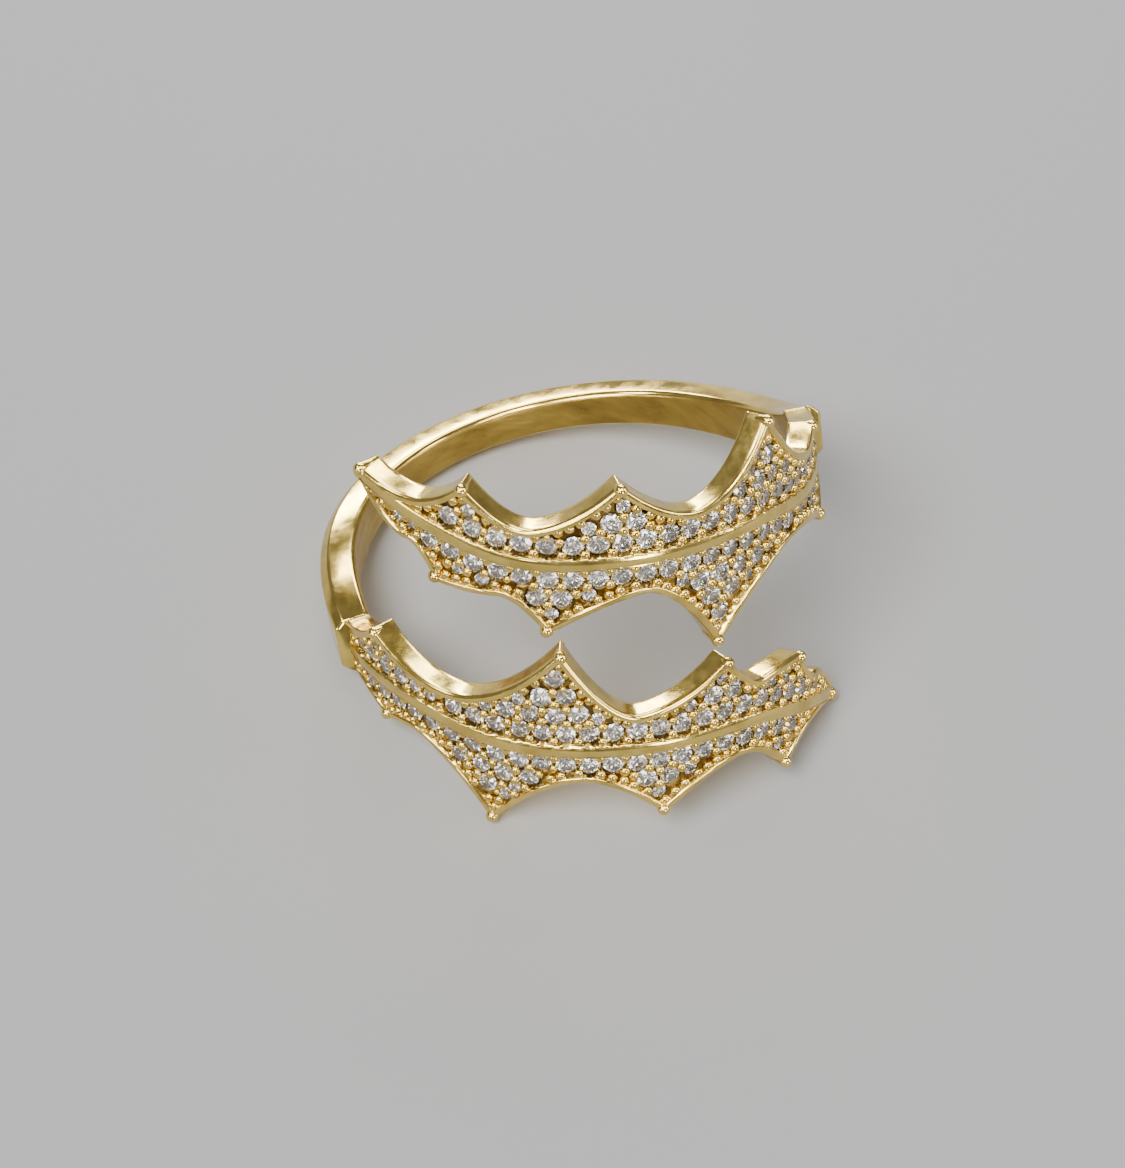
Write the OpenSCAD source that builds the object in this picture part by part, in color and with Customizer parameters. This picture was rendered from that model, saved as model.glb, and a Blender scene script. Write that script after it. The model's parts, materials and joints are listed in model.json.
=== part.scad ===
// Open bypass finger ring: two stone-set holly leaves on a plain bevelled shank.
// The ring lies on its side, resting on two leaf tips and the back of the shank.

/* [Ring] */
// Inside diameter, which is the finger size
bore_d = 17.3; // [15:0.1:21]
// Width of the shank at its back
shank_w = 1.5; // [1.3:0.1:2.2]
// Thickness of the shank
shank_t = 1.45; // [1.3:0.05:2]
// Width of the shank where it meets a leaf
shoulder_w = 2.4; // [2.2:0.1:2.8]
// Width of the shank's outer bevels
outer_bevel = 0.35; // [0.1:0.05:0.45]
// Width of the shank's inner bevels
inner_bevel = 0.15; // [0.05:0.05:0.2]

/* [Leaves] */
// Height of the highest leaf point above the middle of the ring
leaf_reach = 7.9; // [7:0.1:10]
// Thickness of a leaf under its stones
plate_t = 0.75; // [0.7:0.05:1.1]
// Height of rims and vein above the bed that holds the stones
rim_h = 0.25; // [0.2:0.05:0.4]
// Width of the polished rim along each edge
rim_w = 0.26; // [0.2:0.02:0.4]
// Width of the central vein
vein_w = 0.55; // [0.4:0.05:0.7]
// Radius of the bead on each lobe tip
tip_bead_r = 0.24; // [0.15:0.01:0.25]

/* [Stones] */
// Diameter of one stone
stone_d = 0.82; // [0.76:0.02:1.0]
// Diameter of the small stones that fill the lobe tips
filler_d = 0.56; // [0.5:0.02:0.7]
// Space between a stone and the rims and vein round it
rim_gap = 0.02; // [0.02:0.01:0.1]
// Space between neighbouring stones
stone_gap = 0.05; // [0.04:0.01:0.15]
// Clearance between a stone and its seat
seat_gap = 0.01; // [0.005:0.005:0.03]

/* [Hidden] */
LEAVES = ["upper", "lower"];
STONE_SIDES = [["outer", 4], ["inner", 5]];
function stones_name(leaf, side, lobe) = str(leaf, "_leaf_", side, "_stones_", lobe);
$fn = 16;
skin_facets = 72;

// Radii about the finger axis
bore_r = bore_d / 2;
bed_r = bore_r + plate_t;
rim_r = bed_r + rim_h;
shank_r = bore_r + shank_t;
over = 0.6;

// Leaf outlines: [angle from the front, share of leaf_reach], from base to end tip.
// The points are a base point, then a tip and a valley in turn.
base_angle = 84;
end_angle = -62;
step = 2;
shoulder_z = 0.28 * leaf_reach;
base_half = shoulder_w / 2 / leaf_reach;
vein_path = [[base_angle, 0.28], [58, 0.31], [34, 0.435], [0, 0.525], [-26, 0.61], [-46, 0.79],
    [end_angle, 0.955]];
upper_edge = [[base_angle, 0.28 + base_half], [69, 0.53], [60, 0.5], [40, 0.92], [18, 0.665],
    [0, 0.925], [-20, 0.765], [-34, 1], [-46, 0.895], [end_angle, 0.99]];
lower_edge = [[base_angle, 0.28 - base_half], [68, -0.01], [44, 0.19], [18, -0.09], [2, 0.33],
    [-20, 0.19], [-30, 0.41], [-44, 0.455], [-50, 0.655], [end_angle, 0.92]];
cusp = 1.8;
back_rise = 0.2;
rise_power = 5;
back_step = 4;
foot_angle = -22;
tip_bead_inset = 0.24;

// A round brilliant stone, as shares of its radius
table_share = 0.56;
crown_share = 0.3;
girdle_share = 0.06;
pavilion_share = 0.86;

function at(angle, z, r) = [r * sin(angle), -r * cos(angle), z];
function arc(angle, r) = r * angle * PI / 180;

// Height of an edge at an angle: each half scallop rises from its valley to its tip
function segment(path, angle) = [for (i = [0:len(path) - 2])
    if (angle <= path[i][0] && angle >= path[i + 1][0]) i][0];
function scallop(valley, tip, angle) =
    valley[1] + (tip[1] - valley[1]) * pow((angle - valley[0]) / (tip[0] - valley[0]), cusp);
function edge_z(path, angle) = let (i = segment(path, min(max(angle, end_angle), base_angle)),
    a = path[i], b = path[i + 1], t = min(max(angle, end_angle), base_angle))
    leaf_reach * (i % 2 == 0 ? scallop(a, b, t) : scallop(b, a, t));

// Height of the vein: a smooth curve through its points
function slope(path, i) = let (a = path[max(i - 1, 0)], b = path[min(i + 1, len(path) - 1)])
    (b[1] - a[1]) / (b[0] - a[0]);
function vein_z(angle) = let (t = min(max(angle, end_angle), base_angle), i = segment(vein_path, t),
    a = vein_path[i], b = vein_path[i + 1], w = b[0] - a[0], u = (t - a[0]) / w)
    leaf_reach * (a[1] * (1 + 2 * u) * (1 - u) * (1 - u) + b[1] * u * u * (3 - 2 * u)
        + w * u * (1 - u) * (slope(vein_path, i) * (1 - u) - slope(vein_path, i + 1) * u));

// An edge moved inwards by a distance, measured square to the edge
inset_steps = 8;
function inset_z(path, side, angle, d) = let (reach = d / bed_r * 180 / PI)
    side * min([for (k = [-inset_steps:inset_steps]) let (s = k / inset_steps)
        side * edge_z(path, angle + s * reach) - d * sqrt(1 - s * s)]);

stations = [for (a = [end_angle:step:base_angle]) a];

// Beads that finish each lobe tip and the leaf's end, [angle, height, radius] each
function tip_places(path, side) = [for (i = [1:2:len(path) - 1]) let (tip = path[i])
    [tip[0] == end_angle ? end_angle + tip_bead_inset / arc(1, rim_r) : tip[0],
        tip[1] * leaf_reach - side * tip_bead_inset, tip_bead_r]];
upper_tips = tip_places(upper_edge, 1);
lower_tips = tip_places(lower_edge, -1);

// A strip that bends round the finger axis, with a lower and an upper height at each station
module strip(angles, low, high, r1, r2) {
    n = len(angles);
    points = [for (i = [0:n - 1]) each [at(angles[i], low[i], r1), at(angles[i], low[i], r2),
        at(angles[i], high[i], r2), at(angles[i], high[i], r1)]];
    sides = [for (i = [0:n - 2]) for (k = [0:3]) let (a = 4 * i, b = 4 * i + 4, m = (k + 1) % 4)
        each [[a + k, b + m, b + k], [a + k, a + m, b + m]]];
    ends = [[0, 2, 1], [0, 3, 2], [4 * n - 4, 4 * n - 3, 4 * n - 2], [4 * n - 4, 4 * n - 2, 4 * n - 1]];
    polyhedron(points, concat(sides, ends));
}

module finger_hole() {
    cylinder(h = 4 * leaf_reach, r = bore_r, center = true, $fn = skin_facets);
}

module outer_skin(r) {
    cylinder(h = 4 * leaf_reach, r = r, center = true, $fn = skin_facets);
}

// Bed between the vein and one rim, cut down to the seats' level
module bed(path, side) {
    vein_side = [for (a = stations) vein_z(a) + side * vein_w / 2];
    rim_side = [for (a = stations) inset_z(path, side, a, rim_w)];
    open = [for (i = [1:len(stations) - 2]) if (side * (rim_side[i] - vein_side[i]) > 0.1) i];
    angles = [for (i = open) stations[i]];
    low = [for (i = open) min(vein_side[i], rim_side[i])];
    high = [for (i = open) max(vein_side[i], rim_side[i])];
    difference() {
        strip(angles, low, high, bore_r - over, rim_r + over);
        outer_skin(bed_r);
    }
}

// Stone places, [angle, height, radius] each. Tries run in rows that follow the vein, outwards from
// it, and each one that clears the edges, the tip beads and the stones already placed is kept.
try_step = 0.08;
max_off = 0.55 * leaf_reach;
function vein_tilt(a) = atan2(vein_z(a - 1) - vein_z(a + 1), arc(2, bed_r));
vein_row = [for (a = [base_angle - 5 : -try_step / arc(1, bed_r) : end_angle + 4])
    [a, vein_z(a), sin(vein_tilt(a)) / arc(1, bed_r), cos(vein_tilt(a))]];
function beside_vein(v, off) = [v[0] + off * v[2], v[1] + off * v[3]];
function gap_between(p, q) = norm([arc(p[0] - q[0], bed_r), p[1] - q[1]]);
function inset_row(path, side, d) = [for (a = [end_angle:base_angle]) inset_z(path, side, a, d)];
function looked_up(row, a) = let (i = floor(a - end_angle), t = a - end_angle - i)
    row[i] * (1 - t) + row[i + 1] * t;
function clear_of(p, reach, placed) = len([for (q = placed) if (gap_between(p, q) < reach + q[2]) 1]) == 0;
function tries(side, r) = let (top = inset_row(upper_edge, 1, rim_w + rim_gap + r),
    bottom = inset_row(lower_edge, -1, rim_w + rim_gap + r))
    [for (off = [vein_w / 2 + rim_gap + r : try_step : max_off])
        for (v = vein_row) let (p = beside_vein(v, side * off))
            if (p[0] > end_angle + 4 && p[0] < base_angle - 4
                && p[1] <= looked_up(top, p[0]) && p[1] >= looked_up(bottom, p[0])) p];
function keep(found, r, placed, i = 0) = i >= len(found) ? placed :
    keep(found, r, clear_of(found[i], r + stone_gap, placed) ?
        concat(placed, [[found[i][0], found[i][1], r]]) : placed, i + 1);
function stone_places(side, tips) = let (large = keep(tries(side, stone_d / 2), stone_d / 2, tips),
    all = keep(tries(side, filler_d / 2), filler_d / 2, large)) [for (i = [len(tips):len(all) - 1]) all[i]];

upper_places = stone_places(1, upper_tips);
lower_places = stone_places(-1, lower_tips);

module on_leaf(p, r) {
    rotate([0, 0, p[0]]) translate([0, -r, p[1]]) rotate([90, 0, 0]) children();
}

// A round brilliant, its girdle's top edge level with the bed
module stone(r) {
    girdle = girdle_share * r;
    rotate_extrude() polygon([[0, -girdle - pavilion_share * r], [r, -girdle], [r, 0],
        [table_share * r, crown_share * r], [0, crown_share * r]]);
}

module seat(r) {
    depth = girdle_share * r + pavilion_share * r + seat_gap;
    rotate_extrude() polygon([[0, -depth - seat_gap], [r + seat_gap, -girdle_share * r - seat_gap],
        [r + seat_gap, over], [0, over]]);
}

module leaf_blank() {
    intersection() {
        strip(stations, [for (a = stations) edge_z(lower_edge, a)],
            [for (a = stations) edge_z(upper_edge, a)], bore_r - over, rim_r + over);
        outer_skin(rim_r);
    }
}

module tip_beads() {
    for (p = concat(upper_tips, lower_tips)) on_leaf(p, rim_r - tip_bead_r / 3) sphere(r = tip_bead_r);
}

module leaf_casting() {
    difference() {
        union() {
            leaf_blank();
            tip_beads();
        }
        finger_hole();
        bed(upper_edge, 1);
        bed(lower_edge, -1);
        for (p = concat(upper_places, lower_places)) on_leaf(p, bed_r) seat(p[2]);
    }
}

// Centre height and width of the shank at an angle from the back of the ring
back_span = 180 - base_angle;
function shank_z(b) = shoulder_z * (back_rise * b / back_span + (1 - back_rise) * pow(b / back_span, rise_power));
function shank_width(b) = shank_w + (shoulder_w - shank_w) * pow(b / back_span, 2);
function shank_section(half) = [
    [bore_r - over / 2, -half + inner_bevel + over / 2], [bore_r + inner_bevel, -half],
    [shank_r - outer_bevel, -half], [shank_r, -half + outer_bevel],
    [shank_r, half - outer_bevel], [shank_r - outer_bevel, half],
    [bore_r + inner_bevel, half], [bore_r - over / 2, half - inner_bevel - over / 2]];

module shank_casting() {
    back_angles = [for (b = [-back_span:back_step:back_span]) b];
    n = len(back_angles);
    points = [for (b = back_angles) for (p = shank_section(shank_width(b) / 2))
        at(180 - b, shank_z(b) + p[1], p[0])];
    skin = [for (i = [0:n - 2]) for (k = [0:7]) let (a = 8 * i, b = 8 * i + 8, m = (k + 1) % 8)
        each [[a + k, b + k, b + m], [a + k, b + m, a + m]]];
    ends = [[for (k = [0:7]) k], [for (k = [7:-1:0]) 8 * n - 8 + k]];
    difference() {
        polyhedron(points, concat(skin, ends));
        finger_hole();
    }
}

// The resting pose: a plane through a lobe tip and the end tip of the lower leaf and the lower
// edge of the shank is turned level, so the finger axis leans backwards
function lower_leaf_tip(i) = at(-upper_edge[i][0], -upper_edge[i][1] * leaf_reach, bore_r);
lobe_tip = lower_leaf_tip(3);
end_tip = lower_leaf_tip(len(upper_edge) - 1);
shank_foot = at(180 - foot_angle, shank_z(foot_angle) - shank_width(foot_angle) / 2, shank_r - outer_bevel);
rest_normal = cross(end_tip - lobe_tip, shank_foot - lobe_tip);
lean = atan2(rest_normal[1], rest_normal[2]);
roll = -atan2(rest_normal[0], norm([rest_normal[1], rest_normal[2]]));

module resting() {
    rotate([0, roll, 0]) rotate([lean, 0, 0]) children();
}

// The lower leaf is the upper one turned half a turn about the line to the front
module leaf_place(leaf) {
    resting() rotate([0, leaf == "lower" ? 180 : 0, 0]) children();
}

module gold() {
    color([0.86, 0.7, 0.36]) children();
}

// The stones between two neighbouring valleys, on the outer or the inner side of a leaf
module stones(leaf, side, lobe) {
    outer = side == "outer";
    edge = outer ? upper_edge : lower_edge;
    from = edge[2 * lobe - 2][0];
    to = 2 * lobe >= len(edge) - (outer ? 2 : 0) ? end_angle : edge[2 * lobe][0];
    color([0.93, 0.95, 0.97]) leaf_place(leaf)
        for (p = outer ? upper_places : lower_places) if (p[0] <= from && p[0] > to)
            on_leaf(p, bed_r) stone(p[2]);
}

module shank() {
    gold() resting() shank_casting();
}

module upper_leaf() {
    gold() leaf_place("upper") leaf_casting();
}

module lower_leaf() {
    gold() leaf_place("lower") leaf_casting();
}

shank();
upper_leaf();
lower_leaf();
for (leaf = LEAVES) for (side = STONE_SIDES) for (lobe = [1:side[1]])
    stones(leaf, side[0], lobe);
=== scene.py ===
import bpy
import json
import math
import random
import numpy as np
from mathutils import Matrix, Vector


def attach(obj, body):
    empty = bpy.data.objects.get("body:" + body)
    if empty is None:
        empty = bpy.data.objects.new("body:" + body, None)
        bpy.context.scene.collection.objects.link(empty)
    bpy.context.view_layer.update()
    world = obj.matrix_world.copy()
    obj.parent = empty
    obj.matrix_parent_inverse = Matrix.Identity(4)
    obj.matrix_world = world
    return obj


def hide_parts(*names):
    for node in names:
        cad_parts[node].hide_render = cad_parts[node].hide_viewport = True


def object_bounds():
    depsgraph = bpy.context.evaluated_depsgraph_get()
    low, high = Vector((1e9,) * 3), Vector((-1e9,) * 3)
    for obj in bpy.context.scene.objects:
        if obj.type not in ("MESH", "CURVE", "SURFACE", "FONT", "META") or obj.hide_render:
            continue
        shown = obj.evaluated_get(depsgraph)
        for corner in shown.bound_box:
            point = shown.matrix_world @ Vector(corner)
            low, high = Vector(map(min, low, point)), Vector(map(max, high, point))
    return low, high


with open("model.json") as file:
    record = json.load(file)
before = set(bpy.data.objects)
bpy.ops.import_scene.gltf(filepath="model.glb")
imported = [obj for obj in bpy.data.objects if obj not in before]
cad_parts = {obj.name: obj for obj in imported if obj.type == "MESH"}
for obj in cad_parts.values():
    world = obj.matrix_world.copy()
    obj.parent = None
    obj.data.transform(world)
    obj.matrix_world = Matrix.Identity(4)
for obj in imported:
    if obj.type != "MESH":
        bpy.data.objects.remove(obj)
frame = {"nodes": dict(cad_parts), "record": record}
cadLow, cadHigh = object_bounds()
mm = 0.001
random.seed(11)

# The ring is built round an upright finger axis, in millimetres, then leaned to the way it rests
mount = frame["record"]["mounts"][0]
axisX, axisY, axisZ = mount["axis"]
restTurn = (Matrix.Rotation(math.atan2(axisX, axisZ), 3, "Y")
            @ Matrix.Rotation(-math.asin(axisY), 3, "X"))
turnRows = np.array(restTurn)
boreR = mount["dims"]["r_mm"]


def ringPoint(angle, z, r):
    a = np.radians(angle)
    return np.stack([r * np.sin(a), -r * np.cos(a), z + 0 * a], -1)


def toRest(points, leafSide=1):
    p = np.asarray(points, dtype=float) * [leafSide, 1, leafSide]
    return p @ turnRows.T * mm


def toRing(points, leafSide=1):
    return (np.asarray(points) / mm) @ turnRows * [leafSide, 1, leafSide]


def smoothStep(low, high, x):
    t = np.clip((x - low) / (high - low), 0, 1)
    return t * t * (3 - 2 * t)


def addPiece(name, points, faces, materials, nodes=(), picks=None, smooth=True):
    mesh = bpy.data.meshes.new(name)
    mesh.from_pydata([tuple(p) for p in points], [], faces)
    for m in materials:
        mesh.materials.append(m)
    if picks is not None:
        mesh.polygons.foreach_set("material_index", np.asarray(picks, dtype=np.int32))
    mesh.polygons.foreach_set("use_smooth", np.full(len(mesh.polygons), smooth))
    mesh.update()
    mesh.validate()
    piece = bpy.data.objects.new(name, mesh)
    bpy.context.scene.collection.objects.link(piece)
    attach(piece, "root")
    if nodes:
        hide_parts(*nodes)
    return piece


def newMaterial(name):
    mat = bpy.data.materials.new(name)
    mat.use_nodes = True
    tree = mat.node_tree
    return mat, tree, tree.nodes["Principled BSDF"]


def addNode(tree, kind, **values):
    node = tree.nodes.new(kind)
    for key, value in values.items():
        if hasattr(node, key):
            setattr(node, key, value)
        else:
            node.inputs[key.replace("_", " ")].default_value = value
    return node


def noiseNode(tree, source, scale, detail=3.0, roughness=0.5):
    noise = addNode(tree, "ShaderNodeTexNoise", Scale=scale, Detail=detail, Roughness=roughness)
    tree.links.new(source, noise.inputs["Vector"])
    return noise.outputs["Fac"]


def rampNode(tree, source, stops):
    ramp = tree.nodes.new("ShaderNodeValToRGB")
    items = ramp.color_ramp.elements
    while len(items) < len(stops):
        items.new(0.5)
    for item, (place, colour) in zip(items, stops):
        item.position = place
        item.color = (*colour, 1)
    tree.links.new(source, ramp.inputs["Fac"])
    return ramp.outputs["Color"]


def rangeNode(tree, source, low, high):
    node = addNode(tree, "ShaderNodeMapRange", From_Min=0.3, From_Max=0.7, To_Min=low, To_Max=high)
    tree.links.new(source, node.inputs["Value"])
    return node.outputs["Result"]


# The stain and brown colours paint the shade in the stone bed between the stones; stain is also the darker
# end of the streaky inside
goldLook = {
    "pale": (0.76, 0.55, 0.145),
    "deep": (0.47, 0.325, 0.07),
    "stain": (0.26, 0.165, 0.04),
    "brown": (0.085, 0.046, 0.012),
    "bump": 0.35,
}


# rough is a range, grain and patch are noise scales, depth is the height of the grain in millimetres
def goldMaterial(name, stops, rough, grain, depth, patch=700, stretch=(1, 1, 1)):
    mat, tree, shader = newMaterial(name)
    coord = tree.nodes.new("ShaderNodeTexCoord").outputs["Object"]
    mapping = tree.nodes.new("ShaderNodeMapping")
    mapping.inputs["Scale"].default_value = stretch
    tree.links.new(coord, mapping.inputs["Vector"])
    streak = mapping.outputs["Vector"]
    tone = noiseNode(tree, streak, patch, 4, 0.6)
    tree.links.new(rampNode(tree, tone, stops), shader.inputs["Base Color"])
    tree.links.new(rangeNode(tree, noiseNode(tree, streak, grain, 2), *rough), shader.inputs["Roughness"])
    bump = addNode(tree, "ShaderNodeBump", Strength=goldLook["bump"], Distance=depth * mm)
    tree.links.new(noiseNode(tree, streak, grain * 0.6, 3), bump.inputs["Height"])
    tree.links.new(bump.outputs["Normal"], shader.inputs["Normal"])
    shader.inputs["Metallic"].default_value = 1
    return mat


polish = goldMaterial("polishedGold", [(0.25, goldLook["deep"]), (0.55, goldLook["pale"])],
                      rough=(0.10, 0.20), grain=1800, depth=0.02)
satin = goldMaterial("satinInside", [(0.3, goldLook["stain"]), (0.75, goldLook["deep"])],
                     rough=(0.27, 0.42), grain=1500, depth=0.05, patch=420, stretch=(1, 1, 3.2))
castSide = goldMaterial("castEdge", [(0.25, goldLook["deep"]), (0.6, goldLook["pale"])],
                        rough=(0.14, 0.26), grain=2600, depth=0.03, patch=1100)
# The stone bed is coloured dark brown from brown to stain: painted shade between the stones
bedShadeGold = goldMaterial("stoneBed", [(0.35, goldLook["brown"]), (0.75, goldLook["stain"])],
                       rough=(0.25, 0.45), grain=2400, depth=0.05)
beadGold = goldMaterial("beadGold", [(0.3, goldLook["deep"]), (0.7, goldLook["pale"])],
                        rough=(0.10, 0.18), grain=3000, depth=0.01, patch=1500)

stoneLook = {
    "pale": (1.0, 0.97, 0.92), "grey": (0.80, 0.75, 0.68), "cloud": 900,
    "clear": 0.95, "index": 2.05, "rough": (0.02, 0.07), "grain": 2500,
}


def stoneMaterial():
    mat, tree, shader = newMaterial("clearStone")
    coord = tree.nodes.new("ShaderNodeTexCoord").outputs["Object"]
    tone = noiseNode(tree, coord, stoneLook["cloud"], 2)
    tree.links.new(rampNode(tree, tone, [(0.35, stoneLook["grey"]), (0.6, stoneLook["pale"])]),
                   shader.inputs["Base Color"])
    grain = noiseNode(tree, coord, stoneLook["grain"])
    tree.links.new(rangeNode(tree, grain, *stoneLook["rough"]), shader.inputs["Roughness"])
    shader.inputs["Transmission Weight"].default_value = stoneLook["clear"]
    shader.inputs["IOR"].default_value = stoneLook["index"]
    return mat


stoneGlass = stoneMaterial()
print("materials ready")

# The leaf outline follows the same formulas as the solid model
leafShape = {
    "reach": 7.9, "plate": 0.75, "baseAngle": 84, "endAngle": -62, "cusp": 1.8, "shoulder": 2.4,
    "rimHeight": 0.25, "rimWidth": 0.34, "rimRound": 0.15, "rimFoot": (0.09, 0.03),
    "veinWidth": 0.60, "veinRound": 0.11, "veinSlope": 1.25, "veinCrown": 0.07, "veinDrop": 0.05,
    "groove": 0.07, "groovePlace": 0.40, "grooveWidth": 0.06,
    "veinRoom": 0.12, "endRoom": 0.04, "endRound": 0.3, "endNarrow": 0.75,
    "seatSlope": 0.86, "seatDepth": 0.08, "seatEdge": 0.05, "polishAbove": 0.1,
    "innerCurl": 0.07, "curlBevel": 0.3, "tipBead": 0.25, "tipInset": 0.22, "tipSides": 28,
    "stationStep": 0.25, "rowsPerSide": 58, "innerRows": 18, "nearStations": 26,
}
bedR = boreR + leafShape["plate"]
rimR = bedR + leafShape["rimHeight"]
baseHalf = leafShape["shoulder"] / 2 / leafShape["reach"]
veinPath = [(84, 0.28), (58, 0.31), (34, 0.435), (0, 0.525), (-26, 0.61), (-46, 0.79), (-62, 0.955)]
upperEdge = [(84, 0.28 + baseHalf), (69, 0.53), (60, 0.5), (40, 0.92), (18, 0.665),
             (0, 0.925), (-20, 0.765), (-34, 1), (-46, 0.895), (-62, 0.99)]
lowerEdge = [(84, 0.28 - baseHalf), (68, -0.01), (44, 0.19), (18, -0.09), (2, 0.33),
             (-20, 0.19), (-30, 0.41), (-44, 0.455), (-50, 0.655), (-62, 0.92)]


def arc(angle):
    return np.radians(angle) * bedR


def edgeHeight(path, angle):
    a = np.clip(np.asarray(angle, dtype=float), leafShape["endAngle"], leafShape["baseAngle"])
    z = np.zeros_like(a)
    for i in range(len(path) - 1):
        here = (a <= path[i][0]) & (a >= path[i + 1][0])
        valley, tip = (path[i], path[i + 1]) if i % 2 == 0 else (path[i + 1], path[i])
        s = np.clip((a - valley[0]) / (tip[0] - valley[0]), 0, 1)
        z[here] = (valley[1] + (tip[1] - valley[1]) * s ** leafShape["cusp"])[here]
    return z * leafShape["reach"]


def veinHeight(angle):
    a = np.clip(np.asarray(angle, dtype=float), leafShape["endAngle"], leafShape["baseAngle"])
    slopes = []
    for i in range(len(veinPath)):
        p, q = veinPath[max(i - 1, 0)], veinPath[min(i + 1, len(veinPath) - 1)]
        slopes.append((q[1] - p[1]) / (q[0] - p[0]))
    z = np.zeros_like(a)
    for i in range(len(veinPath) - 1):
        p, q = veinPath[i], veinPath[i + 1]
        here = (a <= p[0]) & (a >= q[0])
        w = q[0] - p[0]
        u = (a - p[0]) / w
        curve = (p[1] * (1 + 2 * u) * (1 - u) ** 2 + q[1] * u * u * (3 - 2 * u)
                 + w * u * (1 - u) * (slopes[i] * (1 - u) - slopes[i + 1] * u))
        z[here] = curve[here]
    return z * leafShape["reach"]


def distanceTo(points, starts, ends):
    span = ends - starts
    length = np.maximum((span ** 2).sum(1), 1e-12)
    t = np.clip(((points[:, None] - starts) * span).sum(2) / length, 0, 1)
    near = starts + t[..., None] * span
    return np.sqrt(((points[:, None] - near) ** 2).sum(2)).min(1)


# Stations from the end tip to the base, with the height of both edges and the vein
stations = np.arange(leafShape["endAngle"], leafShape["baseAngle"] + 0.01, leafShape["stationStep"])
lowLine = edgeHeight(lowerEdge, stations)
highLine = edgeHeight(upperEdge, stations)
veinLine = np.clip(veinHeight(stations), lowLine + leafShape["veinRoom"], highLine - leafShape["veinRoom"])
fromEnd = arc(stations - leafShape["endAngle"])
endShare = np.clip(fromEnd / leafShape["endRound"], 0.02, 1)
endNarrow = 1 - leafShape["endNarrow"] * (1 - np.sqrt(1 - (1 - endShare) ** 2))
middleLine = (lowLine + highLine) / 2
shownLow = middleLine + (lowLine - middleLine) * endNarrow
shownHigh = middleLine + (highLine - middleLine) * endNarrow
veinLine = np.clip(veinLine, shownLow + leafShape["endRoom"], shownHigh - leafShape["endRoom"])


def edgeDistances(i, z):
    reach = leafShape["nearStations"]
    first, last = max(i - reach, 0), min(i + reach, len(stations) - 1)
    near = slice(first, last + 1)
    points = np.stack([np.full_like(z, arc(stations[i])), z], 1)
    runs = []
    for line in (shownLow, shownHigh):
        runs.append(np.stack([arc(stations[near]), line[near]], 1))
    starts = np.concatenate([r[:-1] for r in runs])
    ends = np.concatenate([r[1:] for r in runs])
    toRim = distanceTo(points, starts, ends)
    toRim = np.minimum(toRim, fromEnd[i] + 0.02)
    vein = np.stack([arc(stations[near]), veinLine[near]], 1)
    return toRim, distanceTo(points, vein[:-1], vein[1:])


def leafHeight(toRim, toVein):
    s = leafShape
    rounding = np.sqrt(np.maximum(1 - np.clip(1 - toRim / s["rimRound"], 0, 1) ** 2, 0))
    rim = 1 - smoothStep(s["rimWidth"] - s["rimFoot"][0], s["rimWidth"] + s["rimFoot"][1], toRim)
    half = s["veinWidth"] / 2
    veinFall = np.clip((toVein - half + s["veinRound"]) / s["veinRound"] / s["veinSlope"], 0, 1)
    vein = np.sqrt(np.maximum(1 - veinFall ** 2, 0))
    raised = np.maximum(rim, vein)
    groove = np.exp(-((toVein - s["groovePlace"]) / s["grooveWidth"]) ** 2) * (1 - raised)
    crown = s["veinCrown"] * np.clip(1 - (toVein / half) ** 2, 0, 1)
    return (s["rimHeight"] * raised - s["rimRound"] * (1 - rounding)
            - s["groove"] * groove + crown - s["veinDrop"] * (vein > 0.98))


# Each stone's angle, height and radius, read from the solid model
def stonePlaces(nodeName, leafSide):
    mesh = frame["nodes"][nodeName].data
    points = np.empty(len(mesh.vertices) * 3)
    mesh.vertices.foreach_get("co", points)
    points = points.reshape(-1, 3)
    merged, where = np.unique(np.round(points, 7), axis=0, return_inverse=True)
    where = where.ravel()
    parent = list(range(len(merged)))

    def root(i):
        while parent[i] != i:
            parent[i] = parent[parent[i]]
            i = parent[i]
        return i

    for e in mesh.edges:
        a, b = root(where[e.vertices[0]]), root(where[e.vertices[1]])
        if a != b:
            parent[a] = b
    groups = {}
    for i in range(len(merged)):
        groups.setdefault(root(i), []).append(i)
    places = []
    for members in groups.values():
        p = toRing(merged[members], leafSide)
        middle = (p.min(0) + p.max(0)) / 2
        middle = p.mean(0) if len(p) > 8 else middle
        angle = math.degrees(math.atan2(middle[0], -middle[1]))
        out = np.array([math.sin(math.radians(angle)), -math.cos(math.radians(angle)), 0])
        across = p - middle
        across = across - np.outer(across @ out, out)
        places.append((angle, float(middle[2]), float(np.linalg.norm(across, axis=1).max())))
    return places


stoneCut = {
    "table": 0.56, "crown": 0.30, "star": (0.79, 0.17), "girdle": 0.06,
    "pavilion": 0.86, "lower": (0.3, 0.66), "sway": 8, "shrink": 0.985,
}


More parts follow.
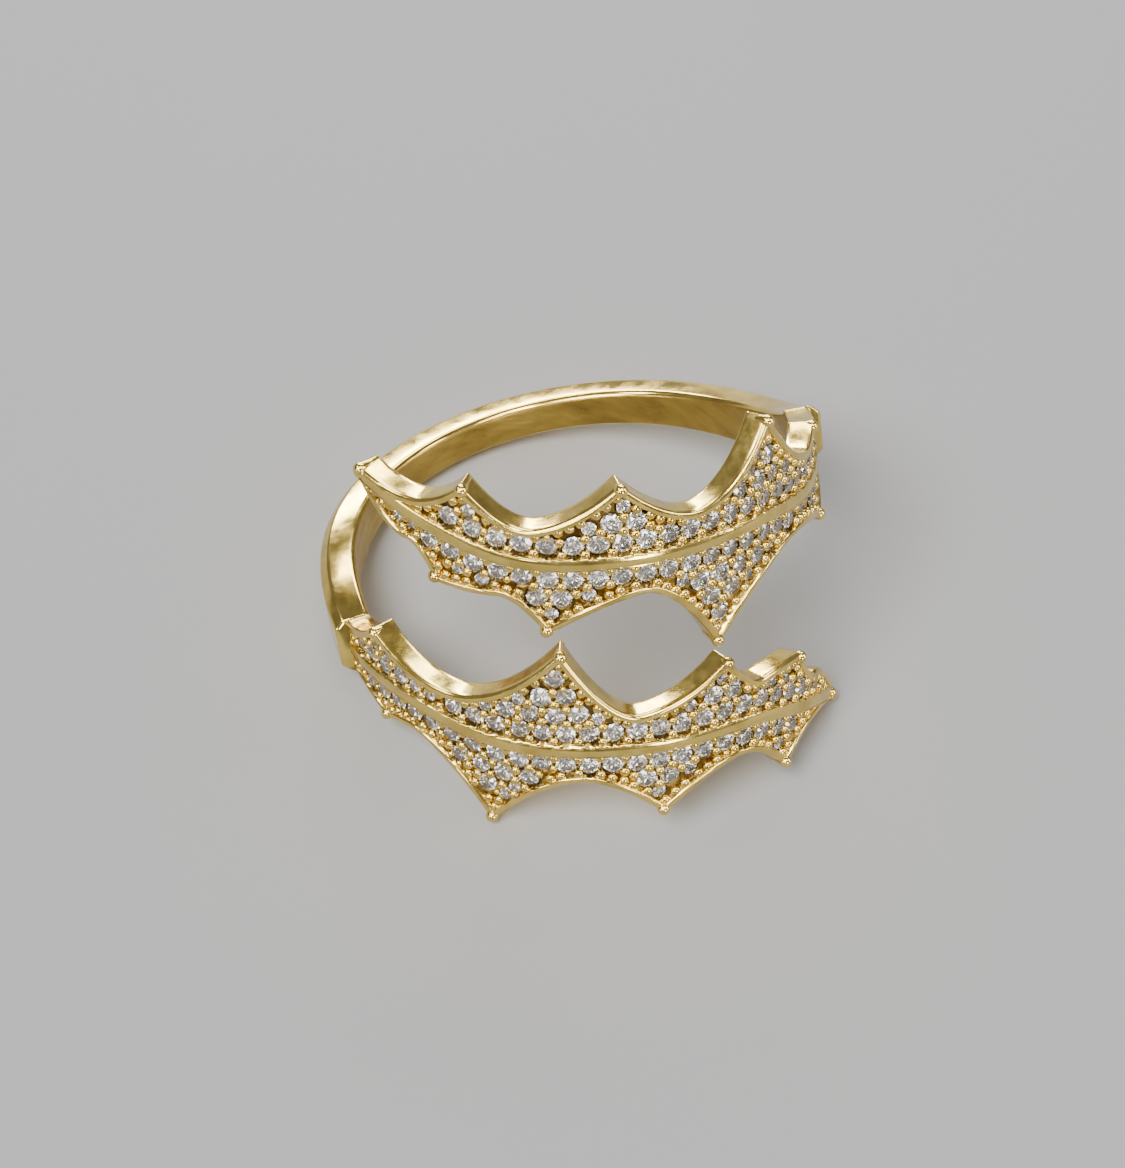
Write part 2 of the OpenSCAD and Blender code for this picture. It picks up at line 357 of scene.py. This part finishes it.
def brilliant(radius):
    c = stoneCut
    radius = radius * c["shrink"]
    ring = lambda n, r, h, turn: [(r * math.cos(math.radians(turn + 360 / n * k)),
                                  r * math.sin(math.radians(turn + 360 / n * k)), h) for k in range(n)]
    bottom = c["girdle"] + c["pavilion"]
    points = (ring(8, c["table"], c["crown"], 0) + ring(8, c["star"][0], c["star"][1], 22.5)
              + ring(16, 1, 0, 0) + ring(16, 1, -c["girdle"], 0)
              + ring(8, c["lower"][0], -c["girdle"] - c["lower"][1], 22.5) + [(0, 0, -bottom)])
    table, star, top, low, under, culet = 0, 8, 16, 32, 48, 56
    faces = [[table + k for k in range(8)]]
    for k in range(8):
        n, before = (k + 1) % 8, (k - 1) % 8
        faces.append([table + k, star + k, table + n])
        faces.append([table + k, star + before, top + 2 * k, star + k])
        faces.append([star + k, top + 2 * k, top + 2 * k + 1])
        faces.append([star + k, top + 2 * k + 1, top + (2 * k + 2) % 16])
        faces.append([low + 2 * k, under + before, culet, under + k])
        faces.append([low + 2 * k + 1, low + 2 * k, under + k])
        faces.append([low + (2 * k + 2) % 16, low + 2 * k + 1, under + k])
    for k in range(16):
        n = (k + 1) % 16
        faces.append([top + k, low + k, low + n, top + n])
    return np.array(points) * radius, faces


def stand(points, angle, z, r, spin=0.0, sway=(0.0, 0.0)):
    turned = (Matrix.Rotation(math.radians(sway[0]), 3, "X") @ Matrix.Rotation(math.radians(sway[1]), 3, "Y")
              @ Matrix.Rotation(spin, 3, "Z"))
    p = np.asarray(points) @ np.array(turned).T
    a = math.radians(angle)
    out = np.array([math.sin(a), -math.cos(a), 0])
    along = np.array([math.cos(a), math.sin(a), 0])
    up = np.array([0, 0, 1.0])
    return ringPoint(angle, z, r) + np.outer(p[:, 0], along) + np.outer(p[:, 1], up) + np.outer(p[:, 2], out)


def gather(parts):
    points, faces, start = [], [], 0
    for p, f in parts:
        points.append(p)
        faces += [[start + i for i in face] for face in f]
        start += len(p)
    return np.concatenate(points), faces


stoneGroups = {"outer": 4, "inner": 5}


def addStones(leafName, leafSide):
    found = []
    for side, count in stoneGroups.items():
        for lobe in range(1, count + 1):
            nodeName = f"{leafName}_leaf_{side}_stones_{lobe}"
            parts = []
            for angle, z, radius in stonePlaces(nodeName, leafSide):
                found.append((angle, z, radius))
                points, faces = brilliant(radius)
                tilt = (random.uniform(-1, 1) * stoneCut["sway"], random.uniform(-1, 1) * stoneCut["sway"])
                parts.append((stand(points, angle, z, bedR, random.uniform(0, 6.28), tilt), faces))
            points, faces = gather(parts)
            addPiece(f"{leafName}{side.capitalize()}Stones{lobe}", toRest(points, leafSide), faces,
                     [stoneGlass], [nodeName], smooth=False)
    print(leafName, "leaf:", len(found), "stones")
    return found


# Small raised beads that hold the stones
beadShape = {
    "spacing": 0.41, "small": 0.13, "large": 0.2, "bite": 0.11, "rise": 0.22,
    "foot": -0.12, "edgeRoom": 0.36, "veinRoom": 0.36, "tryStep": 0.07, "sides": 14,
}


def lathe(profile, sides):
    points, faces = [], []
    for r, h in profile[:-1]:
        for k in range(sides):
            a = 2 * math.pi * k / sides
            points.append((r * math.cos(a), r * math.sin(a), h))
    top = len(points)
    points.append((0, 0, profile[-1][1]))
    for j in range(len(profile) - 2):
        for k in range(sides):
            n = (k + 1) % sides
            faces.append([j * sides + k, j * sides + n, (j + 1) * sides + n, (j + 1) * sides + k])
    for k in range(sides):
        faces.append([top - sides + k, top - sides + (k + 1) % sides, top])
    faces.append([sides - 1 - k for k in range(sides)])
    return np.array(points), faces


def beadPlaces(stones):
    b = beadShape
    centres = np.array([(arc(a), z) for a, z, r in stones])
    radii = np.array([r for a, z, r in stones])
    tries = []
    for i in range(0, len(stations), 2):
        z = np.arange(shownLow[i] + 0.2, shownHigh[i] - 0.2, b["tryStep"])
        if len(z) == 0:
            continue
        toRim, toVein = edgeDistances(i, z)
        for k in np.nonzero((toRim > b["edgeRoom"]) & (toVein > b["veinRoom"]))[0]:
            tries.append((arc(stations[i]), z[k]))
    tries = np.array(tries)
    room = (np.sqrt(((tries[:, None] - centres) ** 2).sum(2)) - radii).min(1)
    order = np.argsort(-room)
    kept = []
    for i in order:
        if room[i] < b["small"] - b["bite"] - 0.03:
            break
        if all((tries[i][0] - p[0]) ** 2 + (tries[i][1] - p[1]) ** 2 > b["spacing"] ** 2 for p in kept):
            kept.append((tries[i][0], tries[i][1], min(max(room[i] + b["bite"], b["small"]), b["large"])))
    return kept


def addBeads(leafName, leafSide, stones):
    parts = []
    for s, z, radius in beadPlaces(stones):
        rise = beadShape["rise"] * (0.8 + 0.2 * radius / beadShape["large"])
        profile = [(radius * 1.1, beadShape["foot"]), (radius * 1.04, rise * 0.2)]
        for k in range(1, 5):
            t = math.radians(22.5 * k)
            profile.append((radius * math.cos(t) if k < 4 else 0, rise * (0.35 + 0.65 * math.sin(t))))
        points, faces = lathe(profile, beadShape["sides"])
        parts.append((stand(points, math.degrees(s / bedR), z, bedR, random.uniform(0, 1)), faces))
    points, faces = gather(parts)
    addPiece(f"{leafName}LeafBeads", toRest(points, leafSide), faces, [beadGold])
    print(leafName, "leaf:", len(parts), "beads")


leafFinish = {"polish": 0, "edge": 1, "inside": 2, "bed": 3}  # places in a leaf's list of materials
wallDown = np.array([0.16, 0.33, 0.5, 0.67, 0.84])  # shares of the way down an edge


# Heights across the leaf at one station, closest together at the edges and the vein
def leafRows(i):
    n = leafShape["rowsPerSide"]
    u = np.linspace(0, 1, n)
    u = 0.55 * u + 0.45 * smoothStep(0, 1, u)
    low = shownLow[i] + (veinLine[i] - shownLow[i]) * u
    high = veinLine[i] + (shownHigh[i] - veinLine[i]) * u
    return np.concatenate([low, high[1:]])


# One closed section across a leaf: the face with its seats, then the edges and the inside
def leafSection(i, angle, centres, radii):
    s = leafShape
    z = leafRows(i)
    toRim, toVein = edgeDistances(i, z)
    height = leafHeight(toRim, toVein)
    here = np.stack([np.full_like(z, arc(angle)), z], 1)
    gap = (np.sqrt(((here[:, None] - centres) ** 2).sum(2)) - radii).min(1)
    cup = s["seatSlope"] * np.clip(-gap, 0, 1) + s["seatDepth"]
    inSeat = smoothStep(s["seatEdge"], 0.0, gap)
    height = np.where(gap < s["seatEdge"], np.minimum(height, height * (1 - inSeat) - cup * inSeat), height)
    top = ringPoint(np.full_like(z, angle), z, bedR + height)
    highR, lowR = bedR + height[-1], bedR + height[0]
    curlR, bevel = boreR + s["innerCurl"], s["innerCurl"] * s["curlBevel"]
    wallHigh = [(z[-1], highR + (curlR - highR) * t) for t in wallDown]
    wallHigh += [(z[-1], curlR), (z[-1] - bevel, boreR + bevel)]
    inner = [(z[-1] + (z[0] - z[-1]) * t, boreR) for t in np.linspace(0.02, 0.98, s["innerRows"])]
    wallLow = [(z[0] + bevel, boreR + bevel), (z[0], curlR)]
    wallLow += [(z[0], lowR + (curlR - lowR) * t) for t in wallDown[::-1]]
    around = np.array(wallHigh + inner + wallLow)
    rest = ringPoint(np.full(len(around), angle), around[:, 0], around[:, 1])
    return np.concatenate([top, rest])


# One ball on a tapered stem for each lobe tip
def tipBeads():
    s = leafShape
    b = s["tipBead"]
    deep = rimR - b / 3 - boreR
    profile = [(b * 0.4, -deep + 0.02), (b * 0.55, -deep + 0.1), (b * 0.62, -deep * 0.5), (b * 0.9, -b * 0.5)]
    profile += [(b * math.cos(t), b * math.sin(t)) for t in np.radians([0, 18, 36, 52, 66, 79])] + [(0, b)]
    bead, beadFaces = lathe(profile, s["tipSides"])
    beads = []
    for path, side in ((upperEdge, 1), (lowerEdge, -1)):
        for angle, share in path[1::2]:
            if angle == s["endAngle"]:
                angle += math.degrees(s["tipInset"] / rimR)
            z = share * s["reach"] - side * s["tipInset"]
            beads.append((stand(bead, angle, z, rimR - b / 3), beadFaces))
    return beads


def addLeaf(leafName, leafSide, stones):
    centres = np.array([(arc(a), z) for a, z, r in stones])
    radii = np.array([r for a, z, r in stones])
    grid = np.array([leafSection(i, angle, centres, radii) for i, angle in enumerate(stations)])
    rows, count = len(stations) - 1, grid.shape[1]
    faces = []
    for i in range(rows):
        for k in range(count):
            n = (k + 1) % count
            faces.append([i * count + k, (i + 1) * count + k, (i + 1) * count + n, i * count + n])
    # Polished on rims and vein, darker in the bed as painted shade between the stones, cast on the edges and
    # satin inside
    face = 2 * leafShape["rowsPerSide"] - 2
    innerFirst = face + len(wallDown) + 2
    sectionPicks = np.full(count, leafFinish["edge"])
    sectionPicks[innerFirst:innerFirst + leafShape["innerRows"] + 1] = leafFinish["inside"]
    picks = np.tile(sectionPicks, (rows, 1))
    radius = np.hypot(grid[..., 0], grid[..., 1])
    raised = (radius[:-1, :face] + radius[1:, 1:face + 1]) / 2 > bedR + leafShape["polishAbove"]
    picks[:, :face] = np.where(raised, leafFinish["polish"], leafFinish["bed"])
    faces.append(list(range(count)))
    faces.append([rows * count + k for k in range(count)][::-1])
    picks = list(picks.ravel()) + [leafFinish["edge"]] * 2
    parts = [(grid.reshape(-1, 3), faces)]
    for bead, beadFaces in tipBeads():
        parts.append((bead, beadFaces))
        picks += [leafFinish["polish"]] * len(beadFaces)
    allPoints, allFaces = gather(parts)
    addPiece(f"{leafName}LeafCasting", toRest(allPoints, leafSide), allFaces,
             [polish, castSide, satin, bedShadeGold], [f"{leafName}_leaf"], picks)
    print(leafName, "leaf casting:", len(allFaces), "faces")


for leafName, leafSide in (("upper", 1), ("lower", -1)):
    stones = addStones(leafName, leafSide)
    addBeads(leafName, leafSide, stones)
    addLeaf(leafName, leafSide, stones)

shankShape = {
    "width": 1.5, "shoulder": 2.4, "thick": 1.45, "outerBevel": 0.35, "innerBevel": 0.15,
    "backRise": 0.2, "risePower": 5, "shoulderShare": 0.28, "span": 96, "step": 0.5,
    "round": 0.09, "endRound": 0.16, "endDrop": 0.7, "sideDrop": 0.25,
}


def roundedSection(corners, radius, steps=4):
    out = []
    n = len(corners)
    for i in range(n):
        p, q, r = (np.array(corners[j % n], dtype=float) for j in (i - 1, i, i + 1))
        back, ahead = p - q, r - q
        reach = min(radius, np.linalg.norm(back) * 0.42, np.linalg.norm(ahead) * 0.42)
        a = q + back / np.linalg.norm(back) * reach
        b = q + ahead / np.linalg.norm(ahead) * reach
        for t in np.linspace(0, 1, steps + 1):
            out.append((1 - t) ** 2 * a + 2 * t * (1 - t) * q + t * t * b)
        if np.linalg.norm(ahead) > 0.6:
            out.append(q + ahead * 0.5)
    return out


def addShank():
    s = shankShape
    outer = boreR + s["thick"]
    points, picks, faces = [], [], []
    angles = np.arange(-s["span"], s["span"] + 0.01, s["step"])
    for b in angles:
        share = b / s["span"]
        z = s["shoulderShare"] * leafShape["reach"] * (
            s["backRise"] * share + (1 - s["backRise"]) * share ** s["risePower"])
        half = (s["width"] + (s["shoulder"] - s["width"]) * share ** 2) / 2
        toEnd = math.radians(s["span"] - abs(b)) * outer
        drop = s["endRound"] * (1 - math.sqrt(1 - (1 - min(toEnd / s["endRound"], 1)) ** 2)) * s["endDrop"]
        r = outer - drop
        side = half - drop * s["sideDrop"]
        corners = [(boreR, -side + s["innerBevel"]), (boreR + s["innerBevel"], -side),
                   (r - s["outerBevel"], -side), (r, -side + s["outerBevel"]),
                   (r, side - s["outerBevel"]), (r - s["outerBevel"], side),
                   (boreR + s["innerBevel"], side), (boreR, side - s["innerBevel"])]
        section = np.array(roundedSection(corners, s["round"]))
        points.append(ringPoint(np.full(len(section), 180 - b), z + section[:, 1], section[:, 0]))
    count = len(points[0])
    onBore = section[:, 0] < boreR + 0.06
    for i in range(len(angles) - 1):
        for k in range(count):
            n = (k + 1) % count
            faces.append([i * count + k, i * count + n, (i + 1) * count + n, (i + 1) * count + k])
            picks.append(1 if onBore[k] and onBore[n] else 0)
    faces.append(list(range(count))[::-1])
    faces.append([(len(angles) - 1) * count + k for k in range(count)])
    picks += [0, 0]
    addPiece("shankCasting", toRest(np.concatenate(points)), faces, [polish, satin], ["shank"], picks)
    print("shank casting:", len(faces), "faces")


addShank()

studio = {
    "floor": (0.66, 0.66, 0.665), "floorSize": 15, "sky": 0.26,
    "sun": (-60, 55, 2.6, 30),  # azimuth, elevation, strength, softness
    "lights": [  # name, azimuth, elevation, distance, size, power, colour
        ("keyPanel", -60, 50, 0.30, (0.16, 0.10), 0.5, (1.0, 0.98, 0.95)),
        ("backPanel", 160, 42, 0.30, (0.22, 0.06), 0.75, (1.0, 0.99, 0.97)),
        ("sidePanel", 75, 35, 0.28, (0.05, 0.18), 0.45, (1.0, 0.97, 0.93)),
        ("topPanel", 10, 80, 0.32, (0.07, 0.07), 0.4, (1.0, 1.0, 1.0)),
        ("frontPanel", 16, 16, 0.26, (0.05, 0.07), 0.32, (1.0, 0.98, 0.94)),
        ("edgePanel", 172, 14, 0.30, (0.16, 0.04), 0.75, (1.0, 0.99, 0.96)),
        ("leftSpark", -115, 48, 0.25, (0.035, 0.035), 0.16, (1.0, 1.0, 1.0)),
        ("rightSpark", 30, 62, 0.25, (0.035, 0.035), 0.16, (1.0, 1.0, 1.0)),
        ("frontSpark", -30, 24, 0.25, (0.035, 0.035), 0.16, (1.0, 1.0, 1.0)),
        ("lowSpark", -70, 16, 0.25, (0.035, 0.035), 0.16, (1.0, 1.0, 1.0)),
        ("farSpark", 60, 14, 0.25, (0.035, 0.035), 0.16, (1.0, 1.0, 1.0)),
        ("highSpark", -10, 66, 0.25, (0.035, 0.035), 0.16, (1.0, 1.0, 1.0)),
    ],
}
centre = (cadLow + cadHigh) / 2


def lookFrom(azimuth, elevation):
    a, e = math.radians(azimuth), math.radians(elevation)
    return Vector((math.sin(a) * math.cos(e), -math.cos(a) * math.cos(e), math.sin(e)))


def addFloor():
    mesh = bpy.data.meshes.new("studioFloor")
    size = studio["floorSize"]
    z = cadLow.z
    corners = [(-size, -size, z), (size, -size, z), (size, size, z), (-size, size, z)]
    mesh.from_pydata(corners, [], [[0, 1, 2, 3]])
    mat, tree, shader = newMaterial("paleFloor")
    shader.inputs["Base Color"].default_value = (*studio["floor"], 1)
    shader.inputs["Roughness"].default_value = 0.75
    mesh.materials.append(mat)
    floor = bpy.data.objects.new("studioFloor", mesh)
    bpy.context.scene.collection.objects.link(floor)


def addLights():
    for name, azimuth, elevation, distance, size, power, colour in studio["lights"]:
        data = bpy.data.lights.new(name, "AREA")
        data.shape = "RECTANGLE"
        data.size, data.size_y = size
        data.energy = power
        data.color = colour
        light = bpy.data.objects.new(name, data)
        away = lookFrom(azimuth, elevation)
        light.location = centre + away * distance
        light.rotation_euler = away.to_track_quat("Z", "Y").to_euler()
        light.visible_diffuse = False  # the sun and sky light the floor evenly, the panels give the gloss
        bpy.context.scene.collection.objects.link(light)
    azimuth, elevation, strength, softness = studio["sun"]
    data = bpy.data.lights.new("softSun", "SUN")
    data.energy = strength
    data.angle = math.radians(softness)
    sun = bpy.data.objects.new("softSun", data)
    sun.rotation_euler = lookFrom(azimuth, elevation).to_track_quat("Z", "Y").to_euler()
    bpy.context.scene.collection.objects.link(sun)
    world = bpy.data.worlds.new("softRoom")
    world.use_nodes = True
    world.node_tree.nodes["Background"].inputs["Color"].default_value = (1.0, 0.99, 0.98, 1)
    world.node_tree.nodes["Background"].inputs["Strength"].default_value = studio["sky"]
    bpy.context.scene.world = world


cameraSetup = {"azimuth": -24.04, "elevation": 53.47, "roll": -9.16, "distance": 0.11322, "lens": 89.38,
               "aim": (-0.000846, -0.001643, -0.001367)}


def addCamera():
    c = cameraSetup
    back = lookFrom(c["azimuth"], c["elevation"])
    right = Vector((0, 0, 1)).cross(back).normalized()
    up = back.cross(right)
    turn = math.radians(c["roll"])
    newUp = up * math.cos(turn) + right * math.sin(turn)
    newRight = newUp.cross(back)
    data = bpy.data.cameras.new("viewCamera")
    data.lens = c["lens"]
    data.sensor_width = 36
    data.clip_start, data.clip_end = 0.005, 10
    camera = bpy.data.objects.new("viewCamera", data)
    place = Matrix((newRight, newUp, back)).transposed().to_4x4()
    place.translation = Vector(c["aim"]) + back * c["distance"]
    camera.matrix_world = place
    bpy.context.scene.collection.objects.link(camera)
    bpy.context.scene.camera = camera


addFloor()
addLights()
addCamera()
print("floor, lights and camera ready")

bpy.context.view_layer.update()
